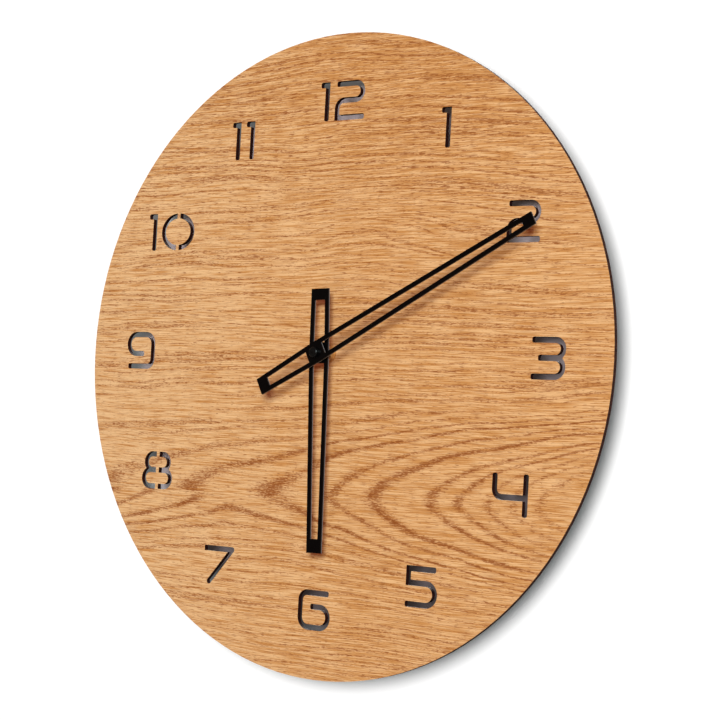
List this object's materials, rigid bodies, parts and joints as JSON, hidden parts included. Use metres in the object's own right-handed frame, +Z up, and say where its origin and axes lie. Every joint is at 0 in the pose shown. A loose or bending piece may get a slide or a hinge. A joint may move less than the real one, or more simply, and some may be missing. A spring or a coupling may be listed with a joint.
{
  "type": "wall clock",
  "caption": "Round oak wall clock: thin board with cut-through numerals, black skeleton hands and a battery quartz movement hung by a keyhole.",
  "frame": {"origin": "on the hand axis, in the rear face of the movement, which lies on the wall", "axes": "+Z up to twelve o'clock, +X to three o'clock, +Y into the wall; the dial faces -Y"},
  "size_m": [0.3999, 0.0365, 0.4],
  "materials": {
    "oak_board": "clear satin oak veneer",
    "black_acrylic": "black sheet, laser cut",
    "black_metal": "satin black",
    "brass": "turned",
    "rubber": "matte",
    "case_plastic": "fine moulded grain",
    "knob_plastic": "moulded",
    "wheel_plastic": "natural acetal",
    "bridge_plastic": "moulded",
    "steel": "bright",
    "plated_steel": "nickel plated",
    "ferrite": "sintered",
    "copper_wire": "enamelled copper wire",
    "circuit_laminate": "paper laminate",
    "chip_resin": "cast resin",
    "cell_can": "plain sleeve"
  },
  "bodies": {
    "clock": {"dial_board": "oak_board", "dial_gasket": "rubber", "dial_washer": "brass", "dial_nut": "brass", "front_case": "case_plastic", "rear_case": "case_plastic", "train_bridge": "bridge_plastic", "bridge_screws": "steel", "stator": "steel", "coil_core": "steel", "coil_bobbin": "bridge_plastic", "coil_winding": "copper_wire", "circuit_board": "circuit_laminate", "quartz_crystal": "plated_steel", "chip_cover": "chip_resin", "battery": "cell_can", "negative_contact": "plated_steel", "positive_contact": "plated_steel"},
    "minute_set": {"minute_arbor": "steel", "clutch_spring": "steel", "cannon_pinion": "wheel_plastic", "minute_hand_collet": "brass", "minute_hand": "black_acrylic", "hand_cap": "black_metal"},
    "hour_set": {"hour_wheel": "wheel_plastic", "hour_hand_collet": "brass", "hour_hand": "black_acrylic"},
    "motion_wheel": {"minute_wheel": "wheel_plastic"},
    "setting_set": {"setting_arbor": "wheel_plastic", "setting_knob": "knob_plastic"},
    "rotor": {"rotor_pinion": "wheel_plastic", "rotor_magnet": "ferrite"},
    "intermediate_set": {"intermediate_wheel": "wheel_plastic"},
    "seconds_set": {"seconds_wheel": "wheel_plastic"},
    "third_set": {"third_wheel": "wheel_plastic"},
    "centre_set": {"centre_wheel": "wheel_plastic"}
  },
  "joints": [
    {"name": "minute_hand_turn", "type": "hinge", "parent": "clock", "child": "minute_set", "pos_m": [0, 0, 0], "axis": [0, 1, 0], "continuous": true},
    {"name": "hour_hand_turn", "type": "hinge", "parent": "clock", "child": "hour_set", "pos_m": [0, 0, 0], "axis": [0, 1, 0], "continuous": true},
    {"name": "motion_wheel_turn", "type": "hinge", "parent": "clock", "child": "motion_wheel", "pos_m": [0.00564, 0, -0.00205], "axis": [0, 1, 0], "continuous": true},
    {"name": "setting_knob_turn", "type": "hinge", "parent": "clock", "child": "setting_set", "pos_m": [0.01128, 0, -0.0041], "axis": [0, 1, 0], "continuous": true},
    {"name": "rotor_turn", "type": "hinge", "parent": "clock", "child": "rotor", "pos_m": [0.0085, 0, 0.01205], "axis": [0, 1, 0], "continuous": true},
    {"name": "intermediate_wheel_turn", "type": "hinge", "parent": "clock", "child": "intermediate_set", "pos_m": [0.00226, 0, 0.00845], "axis": [0, 1, 0], "continuous": true},
    {"name": "seconds_wheel_turn", "type": "hinge", "parent": "clock", "child": "seconds_set", "pos_m": [0, 0, 0], "axis": [0, 1, 0], "continuous": true},
    {"name": "third_wheel_turn", "type": "hinge", "parent": "clock", "child": "third_set", "pos_m": [-0.0085, 0, 0], "axis": [0, 1, 0], "continuous": true},
    {"name": "centre_wheel_turn", "type": "hinge", "parent": "clock", "child": "centre_set", "pos_m": [0, 0, 0], "axis": [0, 1, 0], "continuous": true}
  ],
  "couplings": [
    {"joint": "hour_hand_turn", "follows": "minute_hand_turn", "ratio": 0.083333},
    {"joint": "motion_wheel_turn", "follows": "minute_hand_turn", "ratio": -0.33333},
    {"joint": "setting_knob_turn", "follows": "minute_hand_turn", "ratio": 1},
    {"joint": "intermediate_wheel_turn", "follows": "rotor_turn", "ratio": -0.2},
    {"joint": "seconds_wheel_turn", "follows": "rotor_turn", "ratio": 0.033333},
    {"joint": "third_wheel_turn", "follows": "rotor_turn", "ratio": -0.0044444},
    {"joint": "centre_wheel_turn", "follows": "rotor_turn", "ratio": 0.00055556}
  ]
}
